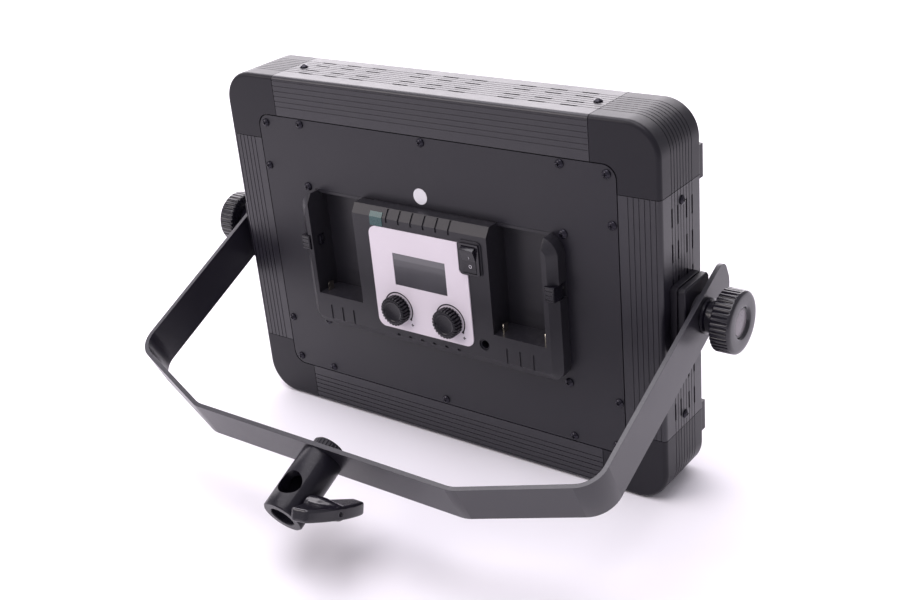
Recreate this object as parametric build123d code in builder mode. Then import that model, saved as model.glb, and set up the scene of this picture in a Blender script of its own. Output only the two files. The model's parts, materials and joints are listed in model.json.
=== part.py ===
from build123d import *
import os
from math import atan2, cos, degrees, radians, sin

os.makedirs("parts", exist_ok=True)

# A studio LED panel light. Millimetres, +Z up, +Y towards the operator (rear, controls),
# light leaves towards -Y. The origin is the centre of the head's underside.
# "Operator coordinates" below are (x to the operator's right, z up), so x = -X.

# ---- head ---------------------------------------------------------------------------------
head_width = 340.0
head_height = 250.0
head_depth = 49.0
rear_y = head_depth / 2
front_y = -head_depth / 2
mid_z = head_height / 2
half_width = head_width / 2
corner_size = 45.5
corner_radius = 22.0
rear_edge_radius = 2.8
front_edge_radius = 1.5
wall = 2.0
groove_width = 0.6
groove_depth = 0.35
side_grooves = [13.0 + 3.57 * step for step in range(8)]
rear_grooves = [3.2 + 3.6 * step for step in range(6)]
lip_width = 12.0
vent_length = 12.0
vent_width = 1.7
vent_pitch = 22.3
vent_group_pitch = 81.7
vent_rows = [side_grooves[row] for row in (0, 2, 5, 7)]
seam_gap = 0.4
screw_hole_gap = 0.05

# ---- rear cover ---------------------------------------------------------------------------
cover_inset = 28.5
cover_thickness = 1.5
cover_radius = 9.0
cover_gap = 0.7
cover_width = head_width - 2 * cover_inset
cover_height = head_height - 2 * cover_inset
ledge_start = 24.0
ledge_end = 37.0
ledge_thickness = 2.0
cover_screw_spots = [
    *[(x, mid_z + side * 93.1) for side in (-1, 1) for x in (-103.6, 0.0, 103.6)],
    *[(x, mid_z + side * 91.0) for side in (-1, 1) for x in (-135.3, 135.3)],
    *[(x, mid_z + side * 59.5) for side in (-1, 1) for x in (-138.0, 138.0)],
]
profile_screw_inset = 8.0
profile_screw_radius = 1.5
sunk_head_radius = 3.0
sunk_depth = sunk_head_radius - profile_screw_radius
sunk_gap = 0.2
screw_depth = 25.5
tongue_length = 16.0
tongue_thickness = 4.0
tongue_width = 14.0

# ---- battery and control housing ----------------------------------------------------------
rim_height = 12.5
rim_y = rear_y + rim_height
housing_half = 104.0
housing_bottom = 75.5
housing_top = 172.7
housing_bevel_in = 6.0
housing_bevel_down = 4.2
housing_corner = 9.0
housing_top_corner = 12.0
bay_inner = 54.6
bay_outer = 94.5
bay_bottom = 99.8
bay_top = 170.7
bay_recess = 7.0
shell = 2.0
front_wall = 2.3
bay_mid = (bay_inner + bay_outer) / 2
housing_screw_spots = [(-103.5, 173.5), (103.5, 173.5), (-102.0, 71.0), (102.0, 71.0)]
window_half = 97.0
window_bottom = 82.0
window_top = 172.9

# ---- control panel ------------------------------------------------------------------------
plate_thickness = 0.8
plate_left, plate_right = -41.0, 38.5
plate_bottom, plate_top = 87.0, 160.3
plate_y = rim_y + plate_thickness
notch_left, notch_bottom = 32.0, 139.0
display_centre = (-1.0, 132.0)
display_width, display_height = 43.0, 23.0
knob_spots = {"brightness": (-22.0, 103.0), "colour": (21.0, 103.0)}
dial_radius = 10.2
dial_height = 7.0
shaft_radius = 3.0
switch_centre = (41.6, 150.6)
jack_spot = (46.7, 90.8)
jack_radius = 4.0
catch_x = 100.0
catch_z = 137.5
catch_travel = 2.5
catch_floor = 25.0
catch_height = 10.0
nose_x, nose_height = 95.0, 6.8
blade_steps = (-16.0, 16.0)
blade_y, blade_width, blade_thickness = 29.0, 5.0, 0.8
bevel_groove_pitch, bevel_groove_width, bevel_groove_depth = 10.15, 1.5, 1.6
bay_groove_pitch, bay_groove_length, bay_groove_z = 10.2, 11.0, 86.5
tab_thickness = 2.9
housing_screw_radius = 1.45

# ---- yoke ---------------------------------------------------------------------------------
pivot_y = rear_y - screw_depth
yoke_swing = 64.8
block_length, block_depth, block_height = 10.0, 31.0, 45.0
block_shift = 1.5
block_slit = 1.2
stud_radius = 4.0
washer_thickness = 2.3
bar_outer = 185.4
bar_thickness = 3.0
bar_width = 29.4
bar_tip = -33.0
tip_radius_front, tip_radius_rear = 17.0, 7.0
bend_start = 138.1
cross_half = 103.9
cross_reach = 167.7
bend_radius = 20.0
receiver_radius = 13.7
receiver_end = 212.0
bore_radius = 8.1
bore_depth = 34.0
cross_hole_reach = 194.4
cross_hole_radius = 8.0
lock_reach = 200.0
lock_tilt = 10.0
lock_radius = 3.0
wing_turn = 41.6
wing_base = 15.0
wing_root = 27.0
wing_tip = 38.2
wing_crown = 43.2
wing_half = 25.0
wing_thickness = 8.0
hub_radius = 7.0
screw_end = 34.0
knob_radius = 19.5
knob_neck = 9.8
knob_start = bar_outer + 0.2
knob_body_start = 196.0
knob_end = 208.6

# direction of the arms (reach) and of the bar's width (across), as vectors
reach_dir = Vector(0, sin(radians(yoke_swing)), -cos(radians(yoke_swing)))
across_dir = Vector(0, cos(radians(yoke_swing)), sin(radians(yoke_swing)))
pivot = Vector(0, pivot_y, mid_z)


def keep(name, piece):
    """Label a finished sub-part and write its STEP file."""
    piece.label = name
    export_step(piece, f"parts/{name}.step")


def rear_plane(y):
    """Plane facing the operator at height y; local coordinates are operator coordinates."""
    return Plane(origin=(0, y, 0), x_dir=(-1, 0, 0), z_dir=(0, 1, 0))


def rear_spot(x, z, y):
    """Location on a rear-facing surface, its local z pointing at the operator."""
    return Location(Plane(origin=(-x, y, z), x_dir=(-1, 0, 0), z_dir=(0, 1, 0)))


def section_plane(origin, outward):
    """Plane of a profile's section: local x runs forwards, local y outwards."""
    forwards = Vector(0, -1, 0)
    return Plane(origin=origin, x_dir=forwards, z_dir=forwards.cross(Vector(*outward)))


def outer_plane(origin, outward):
    """Plane on a profile's outer face: local x along the profile, local y forwards."""
    forwards = Vector(0, -1, 0)
    return Plane(origin=origin, x_dir=forwards.cross(Vector(*outward)), z_dir=outward)


def yoke_point(x, reach, across=0.0):
    return pivot + Vector(x, 0, 0) + reach_dir * reach + across_dir * across


def pan_screw(head_radius, head_height, shank_radius, shank_length, drive=2.6):
    """Domed pan-head screw with a cross recess; its head sits on local z = 0."""
    with BuildPart() as screw:
        with BuildSketch(Plane.XZ):
            with BuildLine():
                Line((0, -shank_length), (shank_radius, -shank_length))
                Line((shank_radius, -shank_length), (shank_radius, 0))
                Line((shank_radius, 0), (head_radius, 0))
                Line((head_radius, 0), (head_radius, 0.35 * head_height))
                ThreePointArc(
                    (head_radius, 0.35 * head_height),
                    (0.62 * head_radius, 0.85 * head_height),
                    (0, head_height),
                )
                Line((0, head_height), (0, -shank_length))
            make_face()
        revolve(axis=Axis.Z)
        with BuildSketch(Plane.XY.offset(0.4 * head_height)):
            Rectangle(drive, 0.65)
            Rectangle(0.65, drive)
        extrude(amount=head_height, mode=Mode.SUBTRACT)
    return screw.part


def sunk_screw(head_radius, shank_radius, shank_length, drive=2.6):
    """Flat-head screw whose face is flush with local z = 0."""
    head_depth_below = head_radius - shank_radius
    with BuildPart() as screw:
        with BuildSketch(Plane.XZ):
            with BuildLine():
                Polyline((0, 0), (head_radius, 0), (shank_radius, -head_depth_below),
                         (shank_radius, -shank_length), (0, -shank_length), close=True)
            make_face()
        revolve(axis=Axis.Z)
        with BuildSketch(Plane.XY.offset(-0.8)):
            Rectangle(drive, 0.65)
            Rectangle(0.65, drive)
        extrude(amount=1.0, mode=Mode.SUBTRACT)
    return screw.part


# ---- grooved profiles ---------------------------------------------------------------------
def grooved_profile(corner, outward, length, vent_groups, ledge_screws, side_holes, sunk=False):
    """One extruded C-section: rear flange, grooved outer wall, front lip, cover ledge.

    Its end screws sit in countersinks if `sunk` is set, so that the head can stand on it.
    """
    along = Vector(0, -1, 0).cross(Vector(*outward))
    middle = Vector(*corner) + along * (length / 2)
    with BuildPart() as profile:
        with BuildSketch(section_plane(Vector(*corner) + along * seam_gap, outward)) as section:
            with BuildLine():
                Polyline(
                    (0, 0),
                    (head_depth, 0),
                    (head_depth, -lip_width),
                    (head_depth - wall, -lip_width),
                    (head_depth - wall, -wall),
                    (wall, -wall),
                    (wall, -ledge_start),
                    (cover_thickness + ledge_thickness, -ledge_start),
                    (cover_thickness + ledge_thickness, -ledge_end),
                    (cover_thickness, -ledge_end),
                    (cover_thickness, cover_gap - cover_inset),
                    (0, cover_gap - cover_inset),
                    close=True,
                )
            make_face()
            outer_corners = section.vertices().group_by(Axis.Y)[-1].sort_by(Axis.X)
            fillet(outer_corners[0], rear_edge_radius)
            fillet(section.vertices().group_by(Axis.Y)[-1].sort_by(Axis.X)[-1], front_edge_radius)
            with Locations(*[(spot, 0) for spot in side_grooves]):
                Rectangle(groove_width, 2 * groove_depth, mode=Mode.SUBTRACT)
            with Locations(*[(0, -spot) for spot in rear_grooves]):
                Rectangle(2 * groove_depth, groove_width, mode=Mode.SUBTRACT)
        extrude(amount=length - 2 * seam_gap)
        with BuildSketch(outer_plane(middle, outward)):
            for group in vent_groups:
                slots = [(group + step * vent_pitch, row) for step in (-1, 0, 1) for row in vent_rows]
                with Locations(*slots):
                    Rectangle(vent_length, vent_width)
        extrude(amount=-1.5 * wall, mode=Mode.SUBTRACT)
        with BuildSketch(outer_plane(middle, outward)):
            with Locations(*[(spot, screw_depth) for spot in side_holes]):
                Circle(profile_screw_radius + screw_hole_gap)
        extrude(amount=-1.5 * wall, mode=Mode.SUBTRACT)
        if sunk:
            with Locations(Location(outer_plane(middle, outward))):
                with Locations(*[(spot, screw_depth, -sunk_depth / 2) for spot in side_holes]):
                    Cone(profile_screw_radius, sunk_head_radius, sunk_depth, mode=Mode.SUBTRACT)
        with BuildSketch(rear_plane(rear_y - ledge_end)):
            with Locations(*ledge_screws):
                Circle(1.4 + screw_hole_gap)
        extrude(amount=ledge_end + 1, mode=Mode.SUBTRACT)
    return profile.part


long_side = head_width - 2 * corner_size
short_side = head_height - 2 * corner_size
long_holes = [side * (long_side / 2 - profile_screw_inset) for side in (-1, 1)]
short_holes = [side * (short_side / 2 - profile_screw_inset) for side in (-1, 1)]
long_vents = [-vent_group_pitch, 0.0, vent_group_pitch]
short_vents = [-42.0, 42.0]
cover_top_screws = [spot for spot in cover_screw_spots if spot[1] == mid_z + 93.1]
cover_bottom_screws = [spot for spot in cover_screw_spots if spot[1] == mid_z - 93.1]
cover_left_screws = [spot for spot in cover_screw_spots if spot[0] == -138.0]
cover_right_screws = [spot for spot in cover_screw_spots if spot[0] == 138.0]

seam_x = half_width - corner_size
keep("top_profile", grooved_profile(
    (seam_x, rear_y, head_height), (0, 0, 1), long_side, long_vents, cover_top_screws, long_holes))
keep("bottom_profile", grooved_profile(
    (-seam_x, rear_y, 0), (0, 0, -1), long_side, long_vents, cover_bottom_screws, long_holes,
    sunk=True))
keep("left_profile", grooved_profile(
    (half_width, rear_y, corner_size), (1, 0, 0), short_side, short_vents, cover_left_screws,
    short_holes))
keep("right_profile", grooved_profile(
    (-half_width, rear_y, head_height - corner_size), (-1, 0, 0), short_side, short_vents,
    cover_right_screws, short_holes))


# ---- corner caps --------------------------------------------------------------------------
def cap_outline(inset, inner):
    """Sketch of the upper right corner, inset from the outside, reaching in to `inner`."""
    size = half_width - inner - inset
    with Locations((inner + size / 2, head_height - inset - size / 2)):
        Rectangle(size, size)
    outline = BuildSketch._get_context()
    corner = outline.vertices().sort_by(Axis.X).group_by(Axis.X)[-1].sort_by(Axis.Y)[-1]
    fillet(corner, corner_radius - inset)


with BuildPart() as corner_cap:
    with BuildSketch(rear_plane(front_y)):
        cap_outline(0.0, seam_x)
    extrude(amount=head_depth)
    rear_rim = corner_cap.faces().sort_by(Axis.Y)[-1].edges()
    fillet(rear_rim.filter_by(lambda e: e.center().X < -seam_x - 1
                              and e.center().Z > head_height - corner_size + 1), rear_edge_radius)
    front_rim = corner_cap.faces().sort_by(Axis.Y)[0].edges()
    fillet(front_rim.filter_by(lambda e: e.center().X < -seam_x - 1
                               and e.center().Z > head_height - corner_size + 1),
           front_edge_radius)
    # hollow inside, open to the profiles
    with BuildSketch(rear_plane(front_y + wall)):
        cap_outline(wall, seam_x - 5)
    extrude(amount=head_depth - wall - cover_thickness - ledge_thickness, mode=Mode.SUBTRACT)
    with BuildSketch(rear_plane(rear_y - cover_thickness - ledge_thickness)):
        cap_outline(wall, seam_x - 5)
        with Locations((seam_x, head_height - corner_size)):
            Rectangle(2 * (corner_size - ledge_start), 2 * (corner_size - ledge_start),
                      mode=Mode.SUBTRACT)
    extrude(amount=cover_thickness + ledge_thickness - wall, mode=Mode.SUBTRACT)
    # seat of the rear cover, and the opening inside its ledge
    with BuildSketch(rear_plane(rear_y - cover_thickness)):
        with Locations((0, mid_z)):
            RectangleRounded(cover_width + 2 * cover_gap, cover_height + 2 * cover_gap, cover_radius)
    extrude(amount=cover_thickness, mode=Mode.SUBTRACT)
    with BuildSketch(rear_plane(front_y + 1)):
        with Locations((0, mid_z)):
            Rectangle(head_width - 2 * ledge_end, head_height - 2 * ledge_end)
    extrude(amount=head_depth, mode=Mode.SUBTRACT)
    # front opening inside the lip
    with BuildSketch(rear_plane(front_y)):
        with Locations((0, mid_z)):
            RectangleRounded(head_width - 2 * lip_width, head_height - 2 * lip_width,
                             corner_radius - lip_width)
    extrude(amount=2 * wall, mode=Mode.SUBTRACT)
    # grooves that carry on from the profiles
    for spot in side_grooves:
        with BuildSketch(rear_plane(rear_y - spot - groove_width / 2)):
            with Locations((half_width - corner_size / 2, head_height - corner_size / 2)):
                Rectangle(corner_size + 2, corner_size + 2)
            with BuildSketch(mode=Mode.PRIVATE) as kept:
                cap_outline(groove_depth, seam_x - 5)
            add(kept.sketch_local, mode=Mode.SUBTRACT)
        extrude(amount=groove_width, mode=Mode.SUBTRACT)
    # tongues that slide into both profiles
    tongue_y = rear_y - screw_depth
    tongue_top = head_height - wall - seam_gap
    tongue_side = half_width - wall - seam_gap
    root = 8.0
    with Locations((-seam_x + (tongue_length - root) / 2, tongue_y,
                    tongue_top - tongue_thickness / 2)):
        Box(tongue_length + root, tongue_width, tongue_thickness)
    with Locations((-tongue_side + tongue_thickness / 2, tongue_y,
                    head_height - corner_size - (tongue_length - root) / 2)):
        Box(tongue_thickness, tongue_width, tongue_length + root)
    with Locations((-seam_x - root / 2, tongue_y, head_height - wall)):
        Box(root, tongue_width, 2 * seam_gap + 0.5)
    with Locations((-half_width + wall, tongue_y, head_height - corner_size + root / 2)):
        Box(2 * seam_gap + 0.5, tongue_width, root)
    # screw holes: two in the tongues, one in the cover ledge
    with Locations((-seam_x + profile_screw_inset, tongue_y, tongue_top)):
        Cylinder(profile_screw_radius + screw_hole_gap, 3 * tongue_thickness, mode=Mode.SUBTRACT)
    with Locations((-tongue_side, tongue_y, head_height - corner_size - profile_screw_inset)):
        Cylinder(profile_screw_radius + screw_hole_gap, 3 * tongue_thickness, rotation=(0, 90, 0),
                 mode=Mode.SUBTRACT)
    with Locations(rear_spot(135.3, mid_z + 91.0, rear_y)):
        Cylinder(1.4 + screw_hole_gap, 10, mode=Mode.SUBTRACT)

mid_plane = Plane.XY.offset(mid_z)
right_top = corner_cap.part
left_top = right_top.mirror(Plane.YZ)
keep("top_right_corner", right_top)
keep("top_left_corner", left_top)
keep("bottom_right_corner", right_top.mirror(mid_plane))
keep("bottom_left_corner", left_top.mirror(mid_plane))

# screws along the outer faces, one near each end of every profile
profile_screw = pan_screw(2.9, 1.7, profile_screw_radius, 6.0)
base_screw = sunk_screw(sunk_head_radius - sunk_gap, profile_screw_radius, 6.0)
with BuildPart() as profile_screws:
    for x in long_holes:
        with Locations(Location(Plane(origin=(x, tongue_y, head_height), z_dir=(0, 0, 1)))):
            add(profile_screw)
        with Locations(Location(Plane(origin=(x, tongue_y, 0), z_dir=(0, 0, -1)))):
            add(base_screw)
    for side in (-1, 1):
        for z in short_holes:
            spot = Plane(origin=(side * half_width, tongue_y, mid_z + z), z_dir=(side, 0, 0))
            with Locations(Location(spot)):
                add(profile_screw)
keep("profile_screws", profile_screws.part)

# ---- rear cover ---------------------------------------------------------------------------
with BuildPart() as rear_cover:
    with BuildSketch(rear_plane(rear_y - cover_thickness)):
        with Locations((0, mid_z)):
            RectangleRounded(cover_width, cover_height, cover_radius)
        with Locations((0, (window_bottom + window_top) / 2)):
            Rectangle(2 * window_half, window_top - window_bottom, mode=Mode.SUBTRACT)
        with Locations(*cover_screw_spots, *housing_screw_spots):
            Circle(1.6, mode=Mode.SUBTRACT)
    extrude(amount=cover_thickness)
keep("rear_cover", rear_cover.part)

cover_screw = pan_screw(2.9, 1.9, 1.4, 5.0)
with BuildPart() as cover_screws:
    for x, z in cover_screw_spots:
        with Locations(rear_spot(x, z, rear_y)):
            add(cover_screw)
keep("cover_screws", cover_screws.part)

# ---- light engine -------------------------------------------------------------------------
diffuser_thickness = 2.0
diffuser_rear = front_y + wall + diffuser_thickness
board_front = -3.6
board_thickness = 1.6
spreader_front = board_front + board_thickness
spreader_thickness = 2.0
fin_height = 7.0
engine_width = head_width - 14.0
engine_height = head_height - 14.0
frame_rail = 6.0
chip_columns, chip_rows = 24, 16
chip_pitch = 12.6

with BuildPart() as diffuser_panel:
    with BuildSketch(rear_plane(front_y + wall)):
        with Locations((0, mid_z)):
            RectangleRounded(engine_width - 4, engine_height - 4, 8)
    extrude(amount=diffuser_thickness)
keep("diffuser_panel", diffuser_panel.part)

with BuildPart() as diffuser_frame:
    with BuildSketch(rear_plane(diffuser_rear)):
        with Locations((0, mid_z)):
            RectangleRounded(engine_width, engine_height, 10)
            RectangleRounded(engine_width - 2 * frame_rail, engine_height - 2 * frame_rail, 6,
                             mode=Mode.SUBTRACT)
    extrude(amount=board_front - diffuser_rear)
keep("diffuser_frame", diffuser_frame.part)

with BuildPart() as led_board:
    with BuildSketch(rear_plane(board_front)):
        with Locations((0, mid_z)):
            RectangleRounded(engine_width, engine_height, 10)
    extrude(amount=board_thickness)
keep("led_board", led_board.part)

with BuildPart() as led_chips:
    with BuildSketch(rear_plane(board_front - 0.8)):
        with Locations((0, mid_z)):
            with GridLocations(chip_pitch, chip_pitch, chip_columns, chip_rows):
                Rectangle(2.8, 3.5)
    extrude(amount=0.8)
keep("led_chips", led_chips.part)

with BuildPart() as heat_spreader:
    with BuildSketch(rear_plane(spreader_front)):
        with Locations((0, mid_z)):
            RectangleRounded(engine_width, engine_height, 10)
    extrude(amount=spreader_thickness)
    with BuildSketch(rear_plane(spreader_front + spreader_thickness)):
        for side in (-1, 1):
            with Locations((0, mid_z + side * 80)):
                with GridLocations(10.0, 0, 26, 1):
                    Rectangle(1.6, 40)
    extrude(amount=fin_height)
keep("heat_spreader", heat_spreader.part)

standoff_top = spreader_front + spreader_thickness + 8.0
driver_spots = [(x, z) for x in (-60.0, 60.0) for z in (112.0, 138.0)]
with BuildPart() as board_standoffs:
    with BuildSketch(rear_plane(spreader_front + spreader_thickness)):
        with Locations(*driver_spots):
            RegularPolygon(2.8, 6)
    extrude(amount=8.0)
keep("board_standoffs", board_standoffs.part)

with BuildPart() as driver_board:
    with BuildSketch(rear_plane(standoff_top)):
        with Locations((0, mid_z)):
            Rectangle(140, 60)
    extrude(amount=1.6)
    with BuildSketch(rear_plane(standoff_top + 1.6)):
        for x, z, wide, tall in ((-48, 125, 14, 20), (-25, 120, 10, 10), (0, 128, 20, 12),
                                 (30, 122, 12, 16), (50, 130, 10, 10)):
            with Locations((x, z)):
                Rectangle(wide, tall)
    extrude(amount=3.0)
keep("driver_board", driver_board.part)

# ---- accessory clips at the front ---------------------------------------------------------
clip_height = 21.0
clip_offset = 86.5
clip_reach = 5.0
clip_sheet = 1.3
clip_edge = half_width - 0.8
clip_base = 11.0


# open channel in plan: base on the head, riser at the side, lip turned inwards
with BuildSketch() as clip_plan:
    with BuildLine():
        Polyline(
            (clip_edge - clip_base, front_y),
            (clip_edge, front_y),
            (clip_edge, front_y - clip_reach),
            (clip_edge - clip_base + 2, front_y - clip_reach),
            (clip_edge - clip_base + 2, front_y - clip_reach + clip_sheet),
            (clip_edge - clip_sheet, front_y - clip_reach + clip_sheet),
            (clip_edge - clip_sheet, front_y - clip_sheet),
            (clip_edge - clip_base, front_y - clip_sheet),
            close=True,
        )
    make_face()
    mirror(about=Plane.YZ)

with BuildPart() as accessory_clips:
    for z in (mid_z - clip_offset, mid_z + clip_offset):
        with BuildSketch(Plane.XY.offset(z - clip_height / 2)):
            add(clip_plan.sketch)
        extrude(amount=clip_height)
    for z in (mid_z - clip_offset, mid_z + clip_offset):
        for side in (-1, 1):
            with Locations((side * (clip_edge - 7.5), front_y, z)):
                Cylinder(1.2, 4 * clip_sheet, rotation=(90, 0, 0), mode=Mode.SUBTRACT)
keep("accessory_clips", accessory_clips.part)

clip_screw = pan_screw(2.2, 1.1, 1.15, 0.9, drive=1.8)
with BuildPart() as clip_screws:
    for z in (mid_z - clip_offset, mid_z + clip_offset):
        for side in (-1, 1):
            seat = Plane(origin=(side * (clip_edge - 7.5), front_y - clip_sheet, z),
                         z_dir=(0, -1, 0))
            with Locations(Location(seat)):
                add(clip_screw)
keep("clip_screws", clip_screws.part)

# ---- battery and control housing ----------------------------------------------------------
tub_y = rear_y - bay_recess - shell
housing_height = housing_top - housing_bottom
with BuildPart() as housing:
    with BuildSketch(rear_plane(rear_y)) as footprint:
        with Locations((0, (housing_top + housing_bottom) / 2)):
            Rectangle(2 * housing_half, housing_height)
        fillet(footprint.vertices().group_by(Axis.Y)[0], housing_corner)
        fillet(footprint.vertices().group_by(Axis.Y)[-1], housing_top_corner)
    extrude(amount=rim_height)
    rim = housing.faces().sort_by(Axis.Y)[-1]
    chamfer(rim.edges(), length=housing_bevel_in, length2=housing_bevel_down, reference=rim)
    # tubs that reach below the cover under each bay
    with BuildSketch(rear_plane(tub_y)):
        for side in (-1, 1):
            with Locations((side * bay_mid, (bay_bottom + housing_top - shell) / 2)):
                Rectangle(bay_outer - bay_inner + 2 * shell, housing_top - bay_bottom + shell)
    extrude(amount=rear_y - tub_y)
    # the two bays, open at the top above the cover
    with BuildSketch(rear_plane(rear_y - bay_recess)):
        for side in (-1, 1):
            with Locations((side * bay_mid, (bay_bottom + bay_top) / 2)):
                Rectangle(bay_outer - bay_inner, bay_top - bay_bottom)
    extrude(amount=bay_recess + rim_height, mode=Mode.SUBTRACT)
    with BuildSketch(rear_plane(rear_y)):
        for side in (-1, 1):
            with Locations((side * bay_mid, bay_top)):
                Rectangle(bay_outer - bay_inner, 2 * (housing_top - bay_top) + 1)
    extrude(amount=rim_height, mode=Mode.SUBTRACT)
    # cavities behind the control panel and behind the band below each bay
    cavity_half = bay_inner - shell
    cavity_bottom, cavity_top = 84.0, 165.0
    with BuildSketch(rear_plane(rear_y)):
        with Locations((0, (cavity_bottom + cavity_top) / 2)):
            Rectangle(2 * cavity_half, cavity_top - cavity_bottom)
        for side in (-1, 1):
            with Locations((side * bay_mid, (cavity_bottom + bay_bottom - shell) / 2)):
                Rectangle(bay_outer - bay_inner, bay_bottom - shell - cavity_bottom)
    extrude(amount=rim_height - front_wall, mode=Mode.SUBTRACT)
    # raised pad around the rocker switch
    pad_left, pad_right, pad_bottom, pad_top = 32.3, 50.3, 139.3, 163.0
    with BuildSketch(rear_plane(rim_y - 0.5)):
        with Locations(((pad_left + pad_right) / 2, (pad_bottom + pad_top) / 2)):
            RectangleRounded(pad_right - pad_left, pad_top - pad_bottom, 3.3)
    extrude(amount=0.5 + plate_thickness)
    # openings in the panel: display, encoder bushes, switch, power jack
    with BuildSketch(rear_plane(rear_y + rim_height / 2)):
        with Locations(display_centre):
            Rectangle(display_width + 2.5, display_height + 2.5)
        with Locations(*knob_spots.values()):
            Circle(3.6)
        with Locations(switch_centre):
            Rectangle(13.4, 19.4)
        with Locations(jack_spot):
            Circle(jack_radius + 0.05)
    extrude(amount=rim_height, mode=Mode.SUBTRACT)
    # grooves over the top bevel of the control box, notches along its lower edge
    bevel_grooves = [bevel_groove_pitch * (step - 2.5) for step in range(6)]
    notch_z = housing_bottom + housing_bevel_in + 0.6
    bevel_tilt = degrees(atan2(housing_bevel_down, housing_bevel_in))
    bevel_mid_z = housing_top - housing_bevel_in / 2
    bevel_mid_y = rim_y - housing_bevel_down / 2
    for x in bevel_grooves:
        with Locations(Location((-x, bevel_mid_y, bevel_mid_z), (bevel_tilt, 0, 0))):
            Box(bevel_groove_width, bevel_groove_depth, 6.6, mode=Mode.SUBTRACT)
        with Locations((-x, rim_y, bevel_mid_z - housing_bevel_in / 2 - 1.0)):
            Box(bevel_groove_width, bevel_groove_depth, 3.6, mode=Mode.SUBTRACT)
        with Locations((-x, rim_y - 0.4, notch_z)):
            Box(2.6, 1.2, 1.6, mode=Mode.SUBTRACT)
    # three upright grooves below each bay
    for side in (-1, 1):
        for step in (-1, 0, 1):
            with Locations((side * (bay_mid + step * bay_groove_pitch), rim_y, bay_groove_z)):
                Box(1.8, 1.2, bay_groove_length, mode=Mode.SUBTRACT)
    # pockets for the release catches, each with a slot for its nose
    for side in (-1, 1):
        with Locations((side * (catch_x + 0.7), catch_floor + rim_height, catch_z)):
            Box(9.4, 2 * rim_height, catch_height + 0.6, mode=Mode.SUBTRACT)
        with Locations((side * nose_x, catch_floor + 3.2, catch_z)):
            Box(4.0, 6.4, nose_height + 0.6, mode=Mode.SUBTRACT)
    # slots for the contact blades in the lower wall of each bay
    blade_spots = [side * bay_mid + step for side in (-1, 1) for step in blade_steps]
    for x in blade_spots:
        with Locations((-x, blade_y, bay_bottom - shell / 2)):
            Box(blade_thickness + 0.2, blade_width + 0.2, 2 * shell, mode=Mode.SUBTRACT)
    # tabs under the cover that take the four housing screws
    tab_y = rear_y - tab_thickness / 2 - cover_thickness - 0.1
    for x, z in housing_screw_spots:
        side = 1 if x > 0 else -1
        if z > mid_z:
            with Locations((-side * 100.5, tab_y, 172.5)):
                Box(15.0, tab_thickness, 13.0)
        else:
            with Locations((-side * 98.0, tab_y, 77.0)):
                Box(16.0, tab_thickness, 20.0)
            with Locations((-side * 93.0, 22.5, 83.1)):
                Box(6.0, 5.0, 1.8)
        with Locations((-x, tab_y, z)):
            Cylinder(housing_screw_radius + screw_hole_gap, 8, rotation=(90, 0, 0), mode=Mode.SUBTRACT)
keep("battery_control_housing", housing.part)

housing_screw = pan_screw(3.1, 2.1, housing_screw_radius, 6.0)
with BuildPart() as housing_screws:
    for x, z in housing_screw_spots:
        with Locations(rear_spot(x, z, rear_y)):
            add(housing_screw)
keep("housing_screws", housing_screws.part)

# ---- control panel ------------------------------------------------------------------------
with BuildPart() as face_plate:
    with BuildSketch(rear_plane(rim_y)) as plate:
        with Locations(((plate_left + plate_right) / 2, (plate_bottom + plate_top) / 2)):
            RectangleRounded(plate_right - plate_left, plate_top - plate_bottom, 6.0)
        notch_width = plate_right - notch_left + 2
        notch_height = plate_top - notch_bottom + 2
        with Locations((notch_left + notch_width / 2, notch_bottom + notch_height / 2)):
            Rectangle(notch_width, notch_height, mode=Mode.SUBTRACT)
        inner_corner = plate.vertices().sort_by_distance((notch_left, notch_bottom, 0))[0]
        fillet(inner_corner, 3.0)
        with Locations(display_centre):
            Rectangle(display_width + 0.2, display_height + 0.2, mode=Mode.SUBTRACT)
        with Locations(*knob_spots.values()):
            Circle(3.6, mode=Mode.SUBTRACT)
    extrude(amount=plate_thickness)
keep("face_plate", face_plate.part)

with BuildPart() as display_window:
    with BuildSketch(rear_plane(rim_y - 0.4)):
        with Locations(display_centre):
            Rectangle(display_width, display_height)
    extrude(amount=0.9)
keep("display_window", display_window.part)

board_y = rear_y + 3.0
board_top = board_y + 1.6
board_left, board_right = -49.0, 33.0
with BuildPart() as display_module:
    with BuildSketch(rear_plane(board_top)):
        with Locations(display_centre):
            Rectangle(display_width + 1.8, display_height + 1.8)
    extrude(amount=rim_y - 0.4 - board_top)
keep("display_module", display_module.part)

switch_body_width, switch_body_height = 12.8, 18.8
with BuildPart() as control_board:
    with BuildSketch(rear_plane(board_y)):
        with Locations(((board_left + board_right) / 2, 124.0)):
            Rectangle(board_right - board_left, 76)
    extrude(amount=board_top - board_y)
keep("control_board", control_board.part)

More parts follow.
